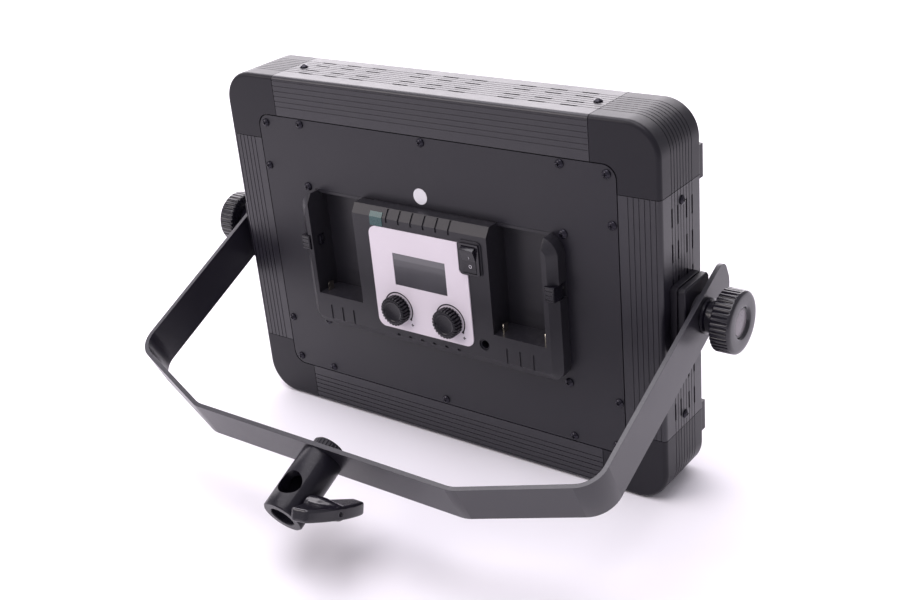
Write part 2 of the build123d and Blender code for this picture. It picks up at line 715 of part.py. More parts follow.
# encoders, their shafts and the fluted knobs
encoder_top = rear_y + rim_height - front_wall - 0.1
knob_base = plate_y + 0.6
knob_top = knob_base + dial_height
for name, (x, z) in knob_spots.items():
    with BuildPart() as encoder:
        with BuildSketch(rear_plane(board_top)):
            with Locations((x, z)):
                Rectangle(12, 12)
        extrude(amount=encoder_top - board_top)
        with BuildSketch(rear_plane(encoder_top)):
            with Locations((x, z)):
                Circle(3.5)
        extrude(amount=knob_base + 1.0 - encoder_top)
        with BuildSketch(rear_plane(board_top + 2.0)):
            with Locations((x, z)):
                Circle(shaft_radius * 0.7 + 0.05)
        extrude(amount=20, mode=Mode.SUBTRACT)
    keep(f"{name}_encoder", encoder.part)

    with BuildPart() as shaft:
        with BuildSketch(rear_plane(board_top + 2.2)):
            with Locations((x, z)):
                Circle(shaft_radius * 0.7)
        extrude(amount=knob_base + 1.1 - board_top - 2.2)
        with BuildSketch(rear_plane(knob_base + 1.1)):
            with Locations((x, z)):
                Circle(shaft_radius)
        extrude(amount=knob_top - 3.0 - knob_base - 1.1)
    keep(f"{name}_shaft", shaft.part)

    with BuildPart() as dial:
        with BuildSketch(rear_plane(knob_base)):
            with Locations((x, z)):
                Circle(dial_radius)
        extrude(amount=dial_height)
        chamfer(dial.faces().sort_by(Axis.Y)[-1].edges(), 0.7)
        with BuildSketch(rear_plane(knob_base)):
            with Locations((x, z)):
                with PolarLocations(dial_radius + 0.3, 28):
                    Circle(0.8)
        extrude(amount=dial_height, mode=Mode.SUBTRACT)
        with BuildSketch(rear_plane(knob_base)):
            with Locations((x, z)):
                Circle(7.5)
        extrude(amount=1.6, mode=Mode.SUBTRACT)
        with BuildSketch(rear_plane(knob_base)):
            with Locations((x, z)):
                Circle(shaft_radius)
        extrude(amount=dial_height - 3.0, mode=Mode.SUBTRACT)
        with BuildSketch(rear_plane(knob_top - 0.5)):
            with Locations((x, z)):
                Circle(6.6)
        extrude(amount=1.0, mode=Mode.SUBTRACT)
    keep(f"{name}_knob", dial.part)

# ---- rocker switch ------------------------------------------------------------------------
switch_x, switch_z = switch_centre
bezel_width, bezel_height = 15.0, 21.4
bezel_y = plate_y
bezel_thickness = 1.2
rocker_axis_y = bezel_y - 1.4
rocker_half, rocker_rise = 8.2, 4.3
rocker_sweep = 9.25
rocker_width = 10.4
rocker_tilt = 10.0
pin_radius = 1.0

with BuildPart() as rocker_frame:
    with BuildSketch(rear_plane(bezel_y)):
        with Locations(switch_centre):
            RectangleRounded(bezel_width, bezel_height, 1.2)
    extrude(amount=bezel_thickness)
    with BuildSketch(rear_plane(bezel_y)):
        with Locations(switch_centre):
            Rectangle(switch_body_width, switch_body_height)
    extrude(amount=-13.0)
    with BuildSketch(rear_plane(bezel_y - 6.5)):
        with Locations(switch_centre):
            Rectangle(rocker_width + 0.4, switch_body_height)
    extrude(amount=6.5 + bezel_thickness, mode=Mode.SUBTRACT)
    with BuildSketch(rear_plane(bezel_y - 6.5)):
        with Locations(switch_centre):
            Rectangle(switch_body_width, switch_body_height)
            Rectangle(rocker_width + 0.4, switch_body_height - 1.0, mode=Mode.SUBTRACT)
    extrude(amount=3.0)
    with Locations((-switch_x, rocker_axis_y, switch_z)):
        Cylinder(pin_radius + 0.05, rocker_width + 1.8, rotation=(0, 90, 0), mode=Mode.SUBTRACT)
keep("rocker_frame", rocker_frame.part)

rocker_hinge = Axis((-switch_x, rocker_axis_y, switch_z), (1, 0, 0))
with BuildPart() as rocker:
    rocker_section = Plane(origin=(-switch_x - rocker_width / 2, rocker_axis_y, switch_z),
                           x_dir=(0, 0, 1), z_dir=(-1, 0, 0))
    with BuildSketch(rocker_section):
        with BuildLine():
            Polyline((-rocker_half, rocker_rise), (0, 3.0), (rocker_half, rocker_rise))
            for end in (-1, 1):
                ThreePointArc((end * rocker_half, rocker_rise), (end * 9.04, 2.0),
                              (end * rocker_sweep, -0.3))
            Line((-rocker_sweep, -0.3), (rocker_sweep, -0.3))
        make_face()
    extrude(amount=-rocker_width)
    with Locations((-switch_x, rocker_axis_y, switch_z)):
        Cylinder(pin_radius, rocker_width + 1.6, rotation=(0, 90, 0))
keep("rocker_paddle", rocker.part.rotate(rocker_hinge, -rocker_tilt))

# ---- power jack ---------------------------------------------------------------------------
with BuildPart() as dc_jack:
    with BuildSketch(rear_plane(board_y - 2.0)):
        with Locations(jack_spot):
            Circle(jack_radius)
    extrude(amount=rim_y - 0.8 - board_y + 2.0)
    with BuildSketch(rear_plane(board_y)):
        with Locations(jack_spot):
            Circle(2.8)
    extrude(amount=20, mode=Mode.SUBTRACT)
keep("dc_jack", dc_jack.part)

with BuildPart() as dc_pin:
    with BuildSketch(rear_plane(board_y)):
        with Locations(jack_spot):
            Circle(0.9)
    extrude(amount=5.0)
    fillet(dc_pin.faces().sort_by(Axis.Y)[-1].edges(), 0.5)
keep("dc_pin", dc_pin.part)

# ---- battery contacts and release catches -------------------------------------------------
for name, side in (("left", -1), ("right", 1)):
    with BuildPart() as terminal_block:
        with BuildSketch(rear_plane(rear_y + 0.5)):
            with Locations((side * bay_mid, 91.0)):
                Rectangle(bay_outer - bay_inner - 1.0, 12.0)
        extrude(amount=rim_height - front_wall - 1.0)
        for step in blade_steps:
            with Locations((-side * bay_mid - step, blade_y, 95.0)):
                Box(blade_thickness, blade_width, 10.0, mode=Mode.SUBTRACT)
    keep(f"{name}_terminal_block", terminal_block.part)

    with BuildPart() as blades:
        for step in blade_steps:
            with Locations((-side * bay_mid - step, blade_y, 98.0)):
                Box(blade_thickness, blade_width, 16.0)
        fillet(blades.edges().filter_by(Axis.X).group_by(Axis.Z)[-1], 1.4)
    keep(f"{name}_battery_contacts", blades.part)

    catch_base = catch_floor + catch_travel + 0.3
    with BuildPart() as catch:
        with Locations((-side * (catch_x - 0.1), (catch_base + rim_y + 1.6) / 2, catch_z)):
            Box(7.0, rim_y + 1.6 - catch_base, catch_height)
        outer_edges = catch.faces().sort_by(Axis.Y)[-1].edges()
        chamfer(outer_edges, 0.7)
        with Locations((-side * (nose_x - 0.3), catch_base + 1.6, catch_z)):
            Box(3.8, 3.2, nose_height)
        with Locations((-side * catch_x, catch_base, catch_z)):
            Cylinder(2.2, 8.0, rotation=(90, 0, 0), mode=Mode.SUBTRACT)
        for step in (-3.0, 0.0, 3.0):
            with Locations((-side * (catch_x - 0.1), rim_y + 1.6, catch_z + step)):
                Box(5.0, 0.8, 0.8, mode=Mode.SUBTRACT)
    keep(f"{name}_release_catch", catch.part)

    with BuildPart() as catch_spring:
        with BuildSketch(rear_plane(catch_floor)):
            with Locations((side * catch_x, catch_z)):
                Circle(1.9)
                Circle(1.2, mode=Mode.SUBTRACT)
        extrude(amount=catch_base + 4.0 - catch_floor)
    keep(f"{name}_catch_spring", catch_spring.part)

# ---- film tab and blank label -------------------------------------------------------------
film = 0.3
bevel_slope = housing_bevel_down / housing_bevel_in
fold_z = housing_top - housing_bevel_in
tab_left, tab_right = -39.4, -29.0
with BuildPart() as film_tab:
    with BuildSketch(Plane(origin=(-tab_left, 0, 0), x_dir=(0, 1, 0), z_dir=(1, 0, 0))):
        with BuildLine():
            Polyline(
                (rim_y, plate_top + 0.2),
                (rim_y, fold_z),
                (rim_y - 3.0 * bevel_slope, fold_z + 3.0),
                (rim_y - 3.0 * bevel_slope + film, fold_z + 3.0 + film * bevel_slope),
                (rim_y + film, fold_z + 0.1),
                (rim_y + film, plate_top + 0.2),
                close=True,
            )
        make_face()
    extrude(amount=tab_left - tab_right)
keep("film_tab", film_tab.part)

with BuildPart() as round_sticker:
    with BuildSketch(rear_plane(rear_y)):
        with Locations((-4.5, 181.0)):
            Circle(5.5)
    extrude(amount=0.2)
keep("round_sticker", round_sticker.part)

# ---- pivot blocks, studs and clamp knobs --------------------------------------------------
for name, side in (("left", 1), ("right", -1)):
    outward = Plane(origin=(side * half_width, pivot_y, mid_z), x_dir=(0, 1, 0),
                    z_dir=(side, 0, 0))

    with BuildPart() as pivot_block:
        with BuildSketch(outward):
            with Locations((block_shift, 0)):
                Rectangle(block_depth, block_height)
        extrude(amount=block_length)
        chamfer(pivot_block.edges().filter_by(Axis.X), 2.0)
        with BuildSketch(outward.offset((block_length - block_slit) / 2)):
            with Locations((block_shift, 0)):
                Rectangle(block_depth, block_height)
                Rectangle(block_depth - 3.0, block_height - 3.0, mode=Mode.SUBTRACT)
        extrude(amount=block_slit, mode=Mode.SUBTRACT)
        outer_face = pivot_block.faces().sort_by(Axis((0, 0, 0), (side, 0, 0)))[-1]
        chamfer(outer_face.edges(), 0.8)
        with BuildSketch(outward):
            Circle(stud_radius + screw_hole_gap)
        extrude(amount=block_length, mode=Mode.SUBTRACT)
    keep(f"{name}_pivot_block", pivot_block.part)

    with BuildPart() as washer:
        with BuildSketch(outward.offset(block_length)):
            Circle(13.0)
            Circle(stud_radius + 0.2, mode=Mode.SUBTRACT)
        extrude(amount=washer_thickness)
    keep(f"{name}_friction_washer", washer.part)

    with BuildPart() as clamp_stud:
        with BuildSketch(outward.offset(1.0)):
            Circle(stud_radius)
        extrude(amount=knob_body_start + 6.0 - half_width - 1.0)
        chamfer(clamp_stud.edges(), 0.5)
    keep(f"{name}_clamp_stud", clamp_stud.part)

    with BuildPart() as clamp_knob:
        with BuildSketch(Plane(origin=(0, pivot_y, mid_z), x_dir=(side, 0, 0), z_dir=(0, -side, 0))):
            with BuildLine():
                Polyline(
                    (knob_start, 0),
                    (knob_start, 11.2),
                    (knob_start + 1.8, 11.2),
                    (knob_start + 2.6, knob_neck),
                    (knob_body_start - 0.6, knob_neck),
                    (knob_body_start - 0.6, knob_radius - 2.2),
                    (knob_body_start + 0.4, knob_radius),
                    (knob_end - 1.6, knob_radius),
                    (knob_end - 0.4, knob_radius - 1.0),
                    (knob_end, knob_radius - 2.4),
                    (knob_end, 9.8),
                    (knob_end - 0.5, 9.3),
                    (knob_end - 3.6, 9.0),
                    (knob_end - 3.6, 0),
                    close=True,
                )
            make_face()
        revolve(axis=Axis((0, pivot_y, mid_z), (1, 0, 0)))
        with BuildSketch(outward.offset(knob_body_start - half_width - 1.0)):
            with PolarLocations(knob_radius + 0.35, 36):
                Circle(1.05)
        extrude(amount=knob_end - 1.8 - knob_body_start + 1.0, mode=Mode.SUBTRACT)
        with BuildSketch(outward):
            Circle(stud_radius)
        extrude(amount=knob_body_start + 6.0 - half_width, mode=Mode.SUBTRACT)
    keep(f"{name}_clamp_knob", clamp_knob.part)

# ---- yoke ---------------------------------------------------------------------------------
yoke_plane = Plane(origin=pivot, x_dir=(1, 0, 0), z_dir=across_dir)
with BuildPart() as yoke_bar:
    with BuildSketch(yoke_plane):
        with BuildLine():
            bar_line = FilletPolyline(
                (-bar_outer, bar_tip),
                (-bar_outer, bend_start),
                (-cross_half, cross_reach),
                (cross_half, cross_reach),
                (bar_outer, bend_start),
                (bar_outer, bar_tip),
                radius=bend_radius,
            )
            offset(bar_line, amount=bar_thickness, side=Side.RIGHT, closed=True)
        make_face()
    extrude(amount=bar_width / 2, both=True)
    tip_edges = yoke_bar.edges().filter_by(Axis.X).group_by(Axis(pivot, reach_dir))[0]
    front_edges, rear_edges = tip_edges.group_by(Axis(pivot, across_dir))
    fillet(front_edges, tip_radius_front)
    rear_edges = yoke_bar.edges().filter_by(Axis.X).group_by(Axis(pivot, reach_dir))[0]
    fillet(rear_edges, tip_radius_rear)
    with Locations(Location(Plane(origin=pivot, z_dir=(1, 0, 0)))):
        Cylinder(stud_radius + 0.3, 3 * bar_outer, mode=Mode.SUBTRACT)
    with Locations(Location(Plane(origin=yoke_point(0, cross_reach), z_dir=reach_dir))):
        Cylinder(stud_radius + screw_hole_gap, 4 * bar_thickness, mode=Mode.SUBTRACT)
keep("yoke_bar", yoke_bar.part)

# ---- stand receiver -----------------------------------------------------------------------
receiver_plane = Plane(origin=yoke_point(0, cross_reach), x_dir=(1, 0, 0), z_dir=reach_dir)
receiver_length = receiver_end - cross_reach
lock_dir = Vector(-cos(radians(lock_tilt)), 0, 0) + across_dir * sin(radians(lock_tilt))
lock_centre = yoke_point(0, lock_reach)
lock_plane = Plane(origin=lock_centre, x_dir=reach_dir, z_dir=lock_dir)

with BuildPart() as stand_receiver:
    with BuildSketch(receiver_plane):
        Circle(receiver_radius)
    extrude(amount=receiver_length)
    receiver_axis = Axis(yoke_point(0, 0), reach_dir)
    chamfer(stand_receiver.edges().sort_by(receiver_axis)[-1], 0.8)
    with BuildSketch(receiver_plane.offset(receiver_length - bore_depth)):
        Circle(bore_radius)
    extrude(amount=bore_depth, mode=Mode.SUBTRACT)
    mouth = stand_receiver.edges().filter_by(GeomType.CIRCLE).group_by(receiver_axis)[-1]
    chamfer(mouth.sort_by(SortBy.RADIUS)[0], 0.5)
    with Locations(Location(Plane(origin=yoke_point(0, cross_hole_reach), z_dir=across_dir))):
        Cylinder(cross_hole_radius, 2 * receiver_radius,
                 align=(Align.CENTER, Align.CENTER, Align.MIN), mode=Mode.SUBTRACT)
    with BuildSketch(lock_plane):
        Circle(lock_radius + screw_hole_gap)
    extrude(amount=2 * receiver_radius, mode=Mode.SUBTRACT)
    with BuildSketch(receiver_plane):
        Circle(stud_radius + screw_hole_gap)
    extrude(amount=8.0, mode=Mode.SUBTRACT)
keep("stand_receiver", stand_receiver.part)

bolt_head_radius, bolt_head_height = 10.8, 7.0
bolt_seat = Plane(origin=yoke_point(0, cross_reach - bar_thickness), x_dir=(1, 0, 0),
                  z_dir=reach_dir * -1)
with BuildPart() as receiver_bolt:
    with BuildSketch(bolt_seat):
        Circle(bolt_head_radius)
    extrude(amount=bolt_head_height)
    bolt_axis = Axis(yoke_point(0, 0), reach_dir)
    chamfer(receiver_bolt.edges().sort_by(bolt_axis)[0], 1.6)
    with BuildSketch(bolt_seat.offset(1.0)):
        with PolarLocations(bolt_head_radius + 0.3, 28):
            Circle(0.8)
    extrude(amount=bolt_head_height, mode=Mode.SUBTRACT)
    with BuildSketch(bolt_seat.offset(bolt_head_height - 3.0)):
        RegularPolygon(3.4, 6)
    extrude(amount=3.0, mode=Mode.SUBTRACT)
    with BuildSketch(bolt_seat):
        Circle(stud_radius)
    extrude(amount=-bar_thickness - 7.5)
keep("receiver_bolt", receiver_bolt.part)

# lock screw, its tip just clear of the stud bore, and the T-shaped handle moulded on it
with BuildPart() as lock_screw:
    with BuildSketch(lock_plane.offset(bore_radius + 0.5)):
        Circle(lock_radius)
    extrude(amount=screw_end - bore_radius - 0.5)
keep("lock_screw", lock_screw.part)

wing_dir = (across_dir * cos(radians(wing_turn)) + reach_dir * sin(radians(wing_turn))).normalized()
wing_plane = Plane(origin=lock_centre, x_dir=lock_dir, z_dir=lock_dir.cross(wing_dir))
hub_plane = Plane(origin=lock_centre, x_dir=lock_dir, z_dir=lock_dir.cross(across_dir))
with BuildPart() as wing_handle:
    with BuildSketch(hub_plane):
        with BuildLine():
            Polyline((wing_base, 0), (wing_base, hub_radius - 1.5), (wing_base + 1.5, hub_radius),
                     (wing_root, hub_radius), (wing_crown - 1.0, 4.6), (wing_crown - 1.0, 0),
                     close=True)
        make_face()
    revolve(axis=Axis(lock_centre, lock_dir))
    with BuildSketch(wing_plane) as wing_outline:
        with BuildLine():
            Polyline((wing_tip, wing_half - 2.0), (wing_root, wing_half), (wing_base + 4.0, 5.0),
                     (wing_base + 4.0, -5.0), (wing_root, -wing_half), (wing_tip, 2.0 - wing_half))
            ThreePointArc((wing_tip, wing_half - 2.0), (wing_crown, 0), (wing_tip, 2.0 - wing_half))
        make_face()
        wing_ends = wing_outline.vertices().filter_by(lambda v: abs(v.Y) > wing_half / 2)
        fillet(wing_ends, 2.2)
    extrude(amount=wing_thickness / 2, both=True)
    long_edges = wing_handle.edges().filter_by(
        lambda e: abs((e.center() - lock_centre).dot(wing_dir)) > hub_radius + 1
        and abs(abs((e.center() - lock_centre).dot(wing_plane.z_dir)) - wing_thickness / 2) < 0.01)
    chamfer(long_edges, 0.8)
    with BuildSketch(lock_plane):
        Circle(lock_radius)
    extrude(amount=screw_end, mode=Mode.SUBTRACT)
    with BuildSketch(lock_plane.offset(wing_crown - 2.0)):
        Circle(1.2)
    extrude(amount=4.0, mode=Mode.SUBTRACT)
keep("wing_handle", wing_handle.part)
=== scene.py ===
import json
from math import cos, pi, radians, sin

import bmesh
import bpy
from mathutils import Matrix, Vector


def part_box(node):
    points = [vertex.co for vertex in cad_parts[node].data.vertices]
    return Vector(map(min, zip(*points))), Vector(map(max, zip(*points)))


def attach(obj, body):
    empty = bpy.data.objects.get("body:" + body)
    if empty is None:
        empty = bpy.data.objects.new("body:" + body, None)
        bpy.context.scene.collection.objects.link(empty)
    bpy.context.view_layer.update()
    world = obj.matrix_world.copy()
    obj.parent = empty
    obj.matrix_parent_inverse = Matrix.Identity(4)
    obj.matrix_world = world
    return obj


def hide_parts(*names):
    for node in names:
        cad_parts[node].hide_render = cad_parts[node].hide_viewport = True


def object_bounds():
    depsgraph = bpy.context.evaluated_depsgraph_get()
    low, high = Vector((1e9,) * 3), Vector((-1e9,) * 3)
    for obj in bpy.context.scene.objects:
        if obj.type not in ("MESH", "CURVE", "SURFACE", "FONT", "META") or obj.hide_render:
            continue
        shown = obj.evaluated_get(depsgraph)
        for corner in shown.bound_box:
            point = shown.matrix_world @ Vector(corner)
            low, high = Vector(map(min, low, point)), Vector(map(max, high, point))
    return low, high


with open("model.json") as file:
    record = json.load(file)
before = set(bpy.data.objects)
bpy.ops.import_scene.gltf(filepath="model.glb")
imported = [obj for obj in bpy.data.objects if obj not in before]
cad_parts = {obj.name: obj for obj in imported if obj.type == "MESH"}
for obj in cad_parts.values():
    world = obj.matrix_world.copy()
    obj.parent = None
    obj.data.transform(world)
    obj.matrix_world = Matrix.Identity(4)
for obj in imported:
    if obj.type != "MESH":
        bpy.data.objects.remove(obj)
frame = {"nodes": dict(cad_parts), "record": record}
cad_low, cad_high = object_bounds()
nodes = frame["nodes"]
record = frame["record"]
MM = 0.001

scene = bpy.context.scene


# ---- node helpers ---------------------------------------------------------------------------
NOISE_ROUGHNESS = 0.55


class Nodes:
    """Short names for building one material. Noise scales are cells per metre."""

    def __init__(self, name):
        self.material = bpy.data.materials.new(name)
        self.material.use_nodes = True
        self.tree = self.material.node_tree
        self.tree.nodes.clear()
        self.shader = self.tree.nodes.new("ShaderNodeBsdfPrincipled")
        output = self.tree.nodes.new("ShaderNodeOutputMaterial")
        self.join(self.shader.outputs["BSDF"], output.inputs["Surface"])
        self.place = self.tree.nodes.new("ShaderNodeTexCoord").outputs["Object"]

    def join(self, source, target):
        self.tree.links.new(source, target)

    def set(self, **values):
        for key, value in values.items():
            self.shader.inputs[key.replace("_", " ")].default_value = value

    def noise(self, scale, detail=3.0, stretch=None):
        node = self.tree.nodes.new("ShaderNodeTexNoise")
        node.inputs["Scale"].default_value = scale
        node.inputs["Detail"].default_value = detail
        node.inputs["Roughness"].default_value = NOISE_ROUGHNESS
        source = self.place
        if stretch:
            mapping = self.tree.nodes.new("ShaderNodeMapping")
            mapping.inputs["Scale"].default_value = stretch
            self.join(self.place, mapping.inputs["Vector"])
            source = mapping.outputs["Vector"]
        self.join(source, node.inputs["Vector"])
        return node.outputs["Fac"]

    def spread(self, source, low, high, start=0.3, stop=0.7):
        """Values of source from start to stop, stretched to run from low to high."""
        node = self.tree.nodes.new("ShaderNodeMapRange")
        node.inputs["From Min"].default_value = start
        node.inputs["From Max"].default_value = stop
        node.inputs["To Min"].default_value = low
        node.inputs["To Max"].default_value = high
        self.join(source, node.inputs["Value"])
        return node.outputs["Result"]

    def math(self, operation, first, second):
        """Sum or product of two sockets."""
        node = self.tree.nodes.new("ShaderNodeMath")
        node.operation = operation
        for socket, value in zip(node.inputs, (first, second)):
            self.join(value, socket)
        return node.outputs["Value"]

    def blend(self, amount, first, second):
        """First colour where amount is 0, second colour where it is 1."""
        node = self.tree.nodes.new("ShaderNodeMix")
        node.data_type = "RGBA"
        self.join(amount, node.inputs["Factor"])
        for name, value in (("A", first), ("B", second)):
            socket = [s for s in node.inputs if s.name == name and s.type == "RGBA"][0]
            if isinstance(value, tuple):
                socket.default_value = (*value, 1.0)
            else:
                self.join(value, socket)
        return [s for s in node.outputs if s.type == "RGBA"][0]

    def upward(self):
        """1 on faces that look up, 0 on the others."""
        geometry = self.tree.nodes.new("ShaderNodeNewGeometry")
        split = self.tree.nodes.new("ShaderNodeSeparateXYZ")
        self.join(geometry.outputs["Normal"], split.inputs["Vector"])
        return self.spread(split.outputs["Z"], 0.0, 1.0, 0.5, 1.0)

    def height(self, source, depth):
        """Bumps as deep as depth, in metres."""
        node = self.tree.nodes.new("ShaderNodeBump")
        node.inputs["Strength"].default_value = 1.0
        node.inputs["Distance"].default_value = depth
        self.join(source, node.inputs["Height"])
        self.join(node.outputs["Normal"], self.shader.inputs["Normal"])


# ---- materials ------------------------------------------------------------------------------
BLACK = (0.0078, 0.0069, 0.0118)
DUST_COLOUR = (0.2, 0.19, 0.21)
CLOUD_SCALE, SCUFF_SCALE, DUST_SCALE = 22.0, 160.0, 420.0
SCUFF_STRETCH = (1.0, 0.25, 3.0)
SCUFF_AMOUNT, SCUFF_PALER = 0.12, 2.0
SCUFF_RANGE, DUST_RANGE = (0.64, 0.8), (0.52, 0.8)


def tint(colour, factor):
    return tuple(min(1.0, c * factor) for c in colour)


def moulded(name, colour, rough, grain, depth=0.03 * MM, metallic=0.0, dust=0.12,
            streak=None, coat=0.0, patch=1.12, shine=0.5):
    """Coloured surface with grain, uneven gloss, faint scuffs and a little dust on top."""
    n = Nodes(name)
    n.set(Metallic=metallic, Coat_Weight=coat, Coat_Roughness=0.12, Specular_IOR_Level=shine)
    cloud = n.noise(CLOUD_SCALE, 4.0)
    fine = n.noise(grain, 2.0, streak)
    scuff = n.noise(SCUFF_SCALE, 5.0, SCUFF_STRETCH)
    base = n.blend(n.spread(cloud, 0.0, 1.0), tint(colour, 1 / patch), tint(colour, patch))
    rubbed = n.spread(scuff, 0.0, SCUFF_AMOUNT, *SCUFF_RANGE)
    base = n.blend(rubbed, base, tint(colour, SCUFF_PALER))
    if dust:
        specks = n.spread(n.noise(DUST_SCALE, 5.0), 0.0, dust, *DUST_RANGE)
        base = n.blend(n.math("MULTIPLY", n.upward(), specks), base, DUST_COLOUR)
    n.join(base, n.shader.inputs["Base Color"])
    gloss = n.math("ADD", n.spread(cloud, rough - 0.03, rough + 0.04), n.spread(fine, -0.03, 0.03))
    n.join(gloss, n.shader.inputs["Roughness"])
    n.height(fine, depth)
    return n.material


def display(name, dark, light, rough):
    """Unlit liquid crystal panel with a paler band along its top and a very fine grain."""
    n = Nodes(name)
    n.set(Coat_Weight=0.3, Coat_Roughness=0.05, Specular_IOR_Level=0.4)
    across = n.tree.nodes.new("ShaderNodeTexCoord").outputs["Generated"]
    split = n.tree.nodes.new("ShaderNodeSeparateXYZ")
    n.join(across, split.inputs["Vector"])
    upwards = split.outputs["Z"]
    band_low, band_high = 0.79, 0.82
    slope = n.spread(upwards, 0.0, 0.35, 0.0, 0.8)
    base = n.blend(slope, dark, light)
    base = n.blend(n.spread(upwards, 0.0, 1.0, band_low, band_high), base, light)
    n.join(base, n.shader.inputs["Base Color"])
    n.join(n.spread(n.noise(90.0), rough, rough + 0.08), n.shader.inputs["Roughness"])
    n.height(n.noise(2600.0, 2.0), 0.001 * MM)
    return n.material


def metal(name, colour, rough, streak=(1.0, 40.0, 1.0)):
    """Bare or plated metal with drawn streaks and small tarnished patches."""
    n = Nodes(name)
    n.set(Metallic=1.0)
    lines = n.noise(900.0, 3.0, streak)
    cloud = n.noise(60.0, 4.0)
    base = n.blend(n.spread(cloud, 0.0, 1.0, 0.35, 0.8), colour, tint(colour, 0.6))
    n.join(base, n.shader.inputs["Base Color"])
    gloss = n.math("ADD", n.spread(lines, rough - 0.06, rough + 0.08), n.spread(cloud, 0.0, 0.08))
    n.join(gloss, n.shader.inputs["Roughness"])
    n.height(lines, 0.01 * MM)
    return n.material


def board(name, mask, copper):
    """Printed circuit board: solder mask with tracks showing through."""
    n = Nodes(name)
    n.set(Coat_Weight=0.5, Coat_Roughness=0.2)
    cells = n.tree.nodes.new("ShaderNodeTexVoronoi")
    cells.distance = "MANHATTAN"
    cells.inputs["Scale"].default_value = 180.0
    n.join(n.place, cells.inputs["Vector"])
    tracks = n.spread(cells.outputs["Distance"], 1.0, 0.0, 0.2, 0.3)
    n.join(n.blend(tracks, mask, copper), n.shader.inputs["Base Color"])
    n.join(n.spread(n.noise(300.0), 0.3, 0.5), n.shader.inputs["Roughness"])
    n.height(tracks, 0.03 * MM)
    return n.material


finishes = {
    "profile_black": moulded("profile_black", tint(BLACK, 1.1), 0.34, 1400, 0.008 * MM,
                             streak=(0.12, 1.0, 0.12), shine=0.55),
    "moulded_black": moulded("moulded_black", tint(BLACK, 0.8), 0.38, 1700, 0.015 * MM,
                             shine=0.28),
    "cover_black": moulded("cover_black", BLACK, 0.42, 2200, 0.015 * MM, shine=0.42),
    "housing_black": moulded("housing_black", (0.0165, 0.0157, 0.02), 0.34, 2000, 0.012 * MM,
                             shine=0.34),
    "screw_black": moulded("screw_black", tint(BLACK, 1.6), 0.22, 1500, 0.005 * MM,
                           metallic=0.5),
    "knob_black": moulded("knob_black", tint(BLACK, 0.9), 0.2, 1600, 0.008 * MM, dust=0.04,
                          shine=0.55),
    "dial_black": moulded("dial_black", tint(BLACK, 0.7), 0.2, 1600, 0.005 * MM, dust=0.04,
                          shine=0.38),
    "switch_black": moulded("switch_black", tint(BLACK, 0.8), 0.22, 2200, 0.006 * MM, dust=0.05),
    "washer_rubber": moulded("washer_rubber", tint(BLACK, 1.3), 0.65, 900, 0.05 * MM),
    "yoke_powder_coat": moulded("yoke_powder_coat", tint(BLACK, 1.3), 0.34, 1500, 0.015 * MM,
                                shine=0.8),
    "receiver_black": moulded("receiver_black", tint(BLACK, 0.9), 0.3, 1500, 0.01 * MM,
                              shine=0.26),
    "diffuser_white": moulded("diffuser_white", (0.5, 0.49, 0.47), 0.5, 900, 0.15 * MM,
                              dust=0.0, patch=1.05),
    "board_white": moulded("board_white", (0.75, 0.74, 0.7), 0.35, 900, dust=0.0, patch=1.05),
    "led_phosphor": moulded("led_phosphor", (0.72, 0.5, 0.09), 0.3, 3000, dust=0.0, patch=1.2),
    "plate_silver": moulded("plate_silver", (0.7, 0.645, 0.7), 0.42, 1800, 0.008 * MM,
                            dust=0.0, patch=1.03),
    "film_green": moulded("film_green", (0.003, 0.05, 0.05), 0.25, 700, 0.01 * MM, dust=0.0,
                          coat=0.15),
    "sticker_white": moulded("sticker_white", (0.72, 0.71, 0.74), 0.55, 900, 0.01 * MM,
                             dust=0.0, patch=1.05),
    "bare_aluminium": metal("bare_aluminium", (0.6, 0.61, 0.62), 0.35),
    "bright_metal": metal("bright_metal", (0.5, 0.5, 0.51), 0.28),
    "contact_brass": metal("contact_brass", (0.82, 0.76, 0.62), 0.12, (1.0, 1.0, 30.0)),
    "board_green": board("board_green", (0.01, 0.09, 0.03), (0.02, 0.16, 0.05)),
    "display_grey": display("display_grey", (0.06, 0.06, 0.065), (0.1, 0.1, 0.11), 0.3),
    "display_glass": display("display_glass", (0.055, 0.054, 0.062), (0.12, 0.119, 0.129), 0.14),
}
ink = moulded("ink_dark", (0.006, 0.005, 0.008), 0.6, 1500, 0.004 * MM, dust=0.0, shine=0.15)
# Pale lilac colour of the disc in each clamp knob's recess: a painted reflection of the bright
# surroundings.
painted_reflection = moulded("knob_painted_reflection", (0.16, 0.14, 0.155), 0.3, 1500, 0.004 * MM, dust=0.0, shine=0.8)
paint = moulded("paint_white", (0.55, 0.54, 0.57), 0.5, 1500, 0.004 * MM, dust=0.0)

slot_of = {part["node"]: part["material_slot"] for part in record["subparts"]}
for name, item in nodes.items():
    item.data.materials.clear()
    item.data.materials.append(finishes[slot_of[name]])


# ---- pieces ---------------------------------------------------------------------------------
CREASE_ANGLE = radians(38)


def piece(name, points, faces, material, body, slot):
    """A mesh object in the row frame that moves with a body."""
    mesh = bpy.data.meshes.new(name)
    mesh.from_pydata([tuple(point) for point in points], [], faces)
    shape = bmesh.new()
    shape.from_mesh(mesh)
    bmesh.ops.recalc_face_normals(shape, faces=shape.faces)
    shape.to_mesh(mesh)
    shape.free()
    mesh.materials.append(material)
    for polygon in mesh.polygons:
        polygon.use_smooth = True
    mesh.set_sharp_from_angle(angle=CREASE_ANGLE)
    item = bpy.data.objects.new(name, mesh)
    scene.collection.objects.link(item)
    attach(item, body)
    return item


